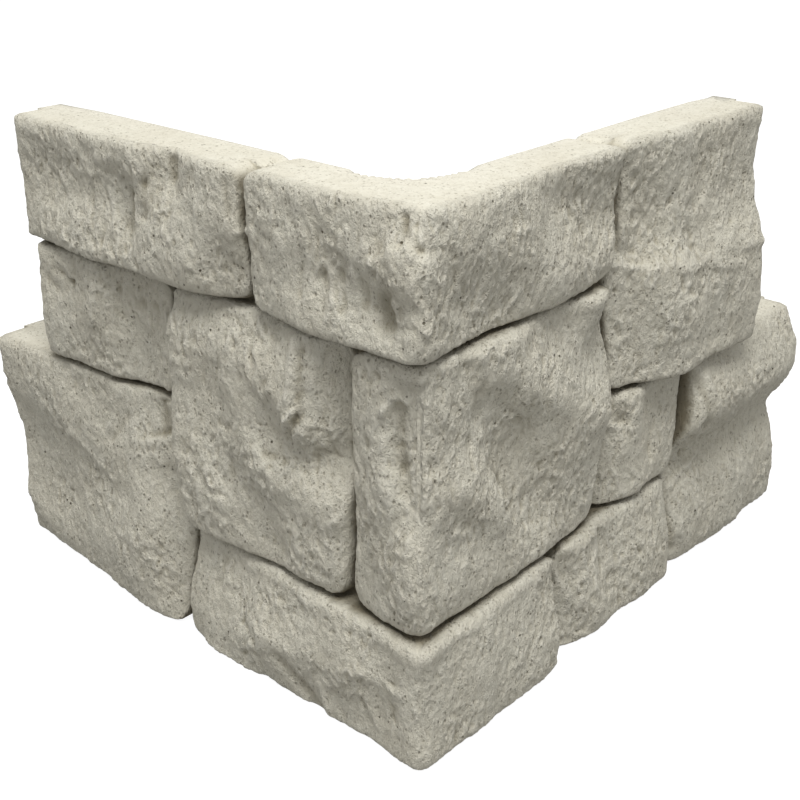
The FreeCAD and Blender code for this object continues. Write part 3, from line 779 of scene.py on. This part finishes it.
def stone_material():
    """Chalky cast stone: cream, with brown stain and painted shade in the hollows, painted shade in the
    pores, dents, holes and joints, and a painted highlight on the ridges.
    """
    material = bpy.data.materials.new("cast_stone")
    n = Nodes(material)
    place = n.add("ShaderNodeTexCoord").outputs["Object"]
    stretch = n.add("ShaderNodeMapping")
    n.link(place, stretch.inputs["Vector"])
    stretch.inputs["Scale"].default_value = (1, 1, 0.6)
    streaks = stretch.outputs["Vector"]

    blotch = n.noise(streaks, 45, 4)
    skin = n.noise(streaks, 430, 5, 0.64)
    lumps = n.noise(streaks, 210, 2, 0.5)
    pores = n.times(n.dots(streaks, 560, 0.10, 0.30), n.spread(n.noise(place, 130), 0.38, 0.54))
    specks = n.times(n.dots(place, 1000, 0.12, 0.34), n.spread(n.noise(place, 260), 0.40, 0.56))
    holes = n.times(n.dots(place, 175, 0.055, 0.10), n.spread(n.noise(place, 60), 0.50, 0.56))

    base = n.mix(n.spread(blotch, 0.35, 0.65), linear(217, 212, 195), linear(223, 219, 203))
    # Colour of the painted shade in the pores and specks
    painted_pore_shade = linear(126, 117, 94)
    # Colours laid over the cream in turn: a painted highlight on the ridges, darker skin where its bump
    # is low, brown stain with painted shade in the hollows, and painted shade in the pores, specks,
    # dents, holes and joints.
    tones_and_painted_light = [
        # Painted highlight: the ridges made paler
        (n.spread(n.attribute("painted_highlight"), 0.05, 0.8, 0.0, 0.5), linear(231, 227, 213)),
        # Darker where the skin's bump is low
        (n.spread(skin, 0.35, 0.60, 0.3, 0.0), linear(188, 181, 161)),
        # Brown stain together with painted shade in the hollows
        (n.spread(n.attribute("crevice"), 0.2, 0.9, 0.0, 0.5), linear(172, 164, 142)),
        # Painted shade in the pores and specks
        (n.times(pores, 0.55), painted_pore_shade),
        (n.times(specks, 0.40), painted_pore_shade),
        # Painted shade in the dents
        (n.times(n.attribute("dent"), 0.55), linear(122, 113, 89)),
        # Painted shade in the holes
        (n.times(holes, 0.85), linear(88, 79, 58)),
        # Painted shade in the open joints between the stones
        (n.times(n.attribute("joint"), 0.85), linear(100, 90, 66)),
    ]
    for share, colour in tones_and_painted_light:
        base = n.mix(share, base, colour)

    height = n.times(skin, 2.4)
    for part, rise in ((lumps, 0.8), (pores, -0.45), (specks, -0.2), (holes, -0.8)):
        height = n.math("ADD", height, n.times(part, rise))
    height = n.times(height, n.spread(n.attribute("face"), 0.0, 0.8, 0.3, 1.0))
    bump = n.add("ShaderNodeBump")
    bump.inputs["Strength"].default_value = 1.0
    bump.inputs["Distance"].default_value = 1.0 * MM
    n.link(height, bump.inputs["Height"])

    shader = n.add("ShaderNodeBsdfPrincipled")
    n.link(base, shader.inputs["Base Color"])
    n.link(bump.outputs["Normal"], shader.inputs["Normal"])
    shader.inputs["Roughness"].default_value = 0.93
    shader.inputs["Specular IOR Level"].default_value = 0.25
    out = n.add("ShaderNodeOutputMaterial")
    n.link(shader.outputs["BSDF"], out.inputs["Surface"])
    return material


def floor_material():
    """Floor that is white to the camera but for the shadow, and throws little light on the object."""
    material = bpy.data.materials.new("floor")
    n = Nodes(material)
    surface = n.add("ShaderNodeBsdfDiffuse")
    surface.inputs["Color"].default_value = (FLOOR_GREY, FLOOR_GREY, FLOOR_GREY, 1)
    glow = n.add("ShaderNodeEmission")
    n.link(n.times(n.seen(), FLOOR_GLOW), glow.inputs["Strength"])
    both = n.add("ShaderNodeAddShader")
    n.link(surface.outputs[0], both.inputs[0])
    n.link(glow.outputs[0], both.inputs[1])
    out = n.add("ShaderNodeOutputMaterial")
    n.link(both.outputs[0], out.inputs["Surface"])
    return material


# Stage, lamp and camera

def build_floor():
    mesh = bpy.data.meshes.new("floor")
    reach = FLOOR_REACH
    corners = [(-reach, -reach, 0), (reach, -reach, 0), (reach, reach, 0), (-reach, reach, 0)]
    mesh.from_pydata(corners, [], [(0, 1, 2, 3)])
    mesh.materials.append(floor_material())
    floor = bpy.data.objects.new("floor", mesh)
    bpy.context.scene.collection.objects.link(floor)


def build_world():
    """Soft even light, seen as plain white by the camera."""
    world = bpy.data.worlds.new("world")
    bpy.context.scene.world = world
    n = Nodes(world)
    mix = n.add("ShaderNodeMixShader")
    n.link(n.seen(), mix.inputs[0])
    for socket, strength in ((mix.inputs[1], WORLD_LIGHT), (mix.inputs[2], 1.0)):
        light = n.add("ShaderNodeBackground")
        light.inputs["Color"].default_value = (1, 1, 1, 1)
        light.inputs["Strength"].default_value = strength
        n.link(light.outputs[0], socket)
    out = n.add("ShaderNodeOutputWorld")
    n.link(mix.outputs[0], out.inputs["Surface"])


def build_lamp():
    """A round lamp high up and a little in front of the corner, turned to the middle of the piece."""
    lamp = bpy.data.lights.new("top_lamp", "AREA")
    lamp.shape = "DISK"
    lamp.size = LAMP_SIZE
    lamp.energy = LAMP_POWER
    holder = bpy.data.objects.new("top_lamp", lamp)
    holder.location = LAMP_PLACE
    middle = (CAD_LOW + CAD_HIGH) / 2
    holder.rotation_mode = "QUATERNION"
    holder.rotation_quaternion = (middle - LAMP_PLACE).to_track_quat("-Z", "Y")
    bpy.context.scene.collection.objects.link(holder)


def build_camera():
    data = bpy.data.cameras.new("camera")
    data.sensor_width = SENSOR_WIDTH
    data.lens = SENSOR_WIDTH * FOCAL_SHARE
    data.clip_start = 0.01
    data.clip_end = 50
    camera = bpy.data.objects.new("camera", data)
    back = Vector((
        math.sin(CAMERA_TURN) * math.cos(CAMERA_RISE),
        -math.cos(CAMERA_TURN) * math.cos(CAMERA_RISE),
        math.sin(CAMERA_RISE)))
    right = Vector((math.cos(CAMERA_TURN), math.sin(CAMERA_TURN), 0))
    up = back.cross(right)
    side = right * math.cos(CAMERA_ROLL) + up * math.sin(CAMERA_ROLL)
    top = back.cross(side)
    turn = Matrix((side, top, back)).transposed()
    camera.matrix_world = Matrix.Translation(CAMERA_PLACE) @ turn.to_4x4()
    bpy.context.scene.collection.objects.link(camera)
    bpy.context.scene.camera = camera


build_piece()
build_floor()
build_world()
build_lamp()
build_camera()
bpy.context.scene.view_settings.view_transform = "Standard"
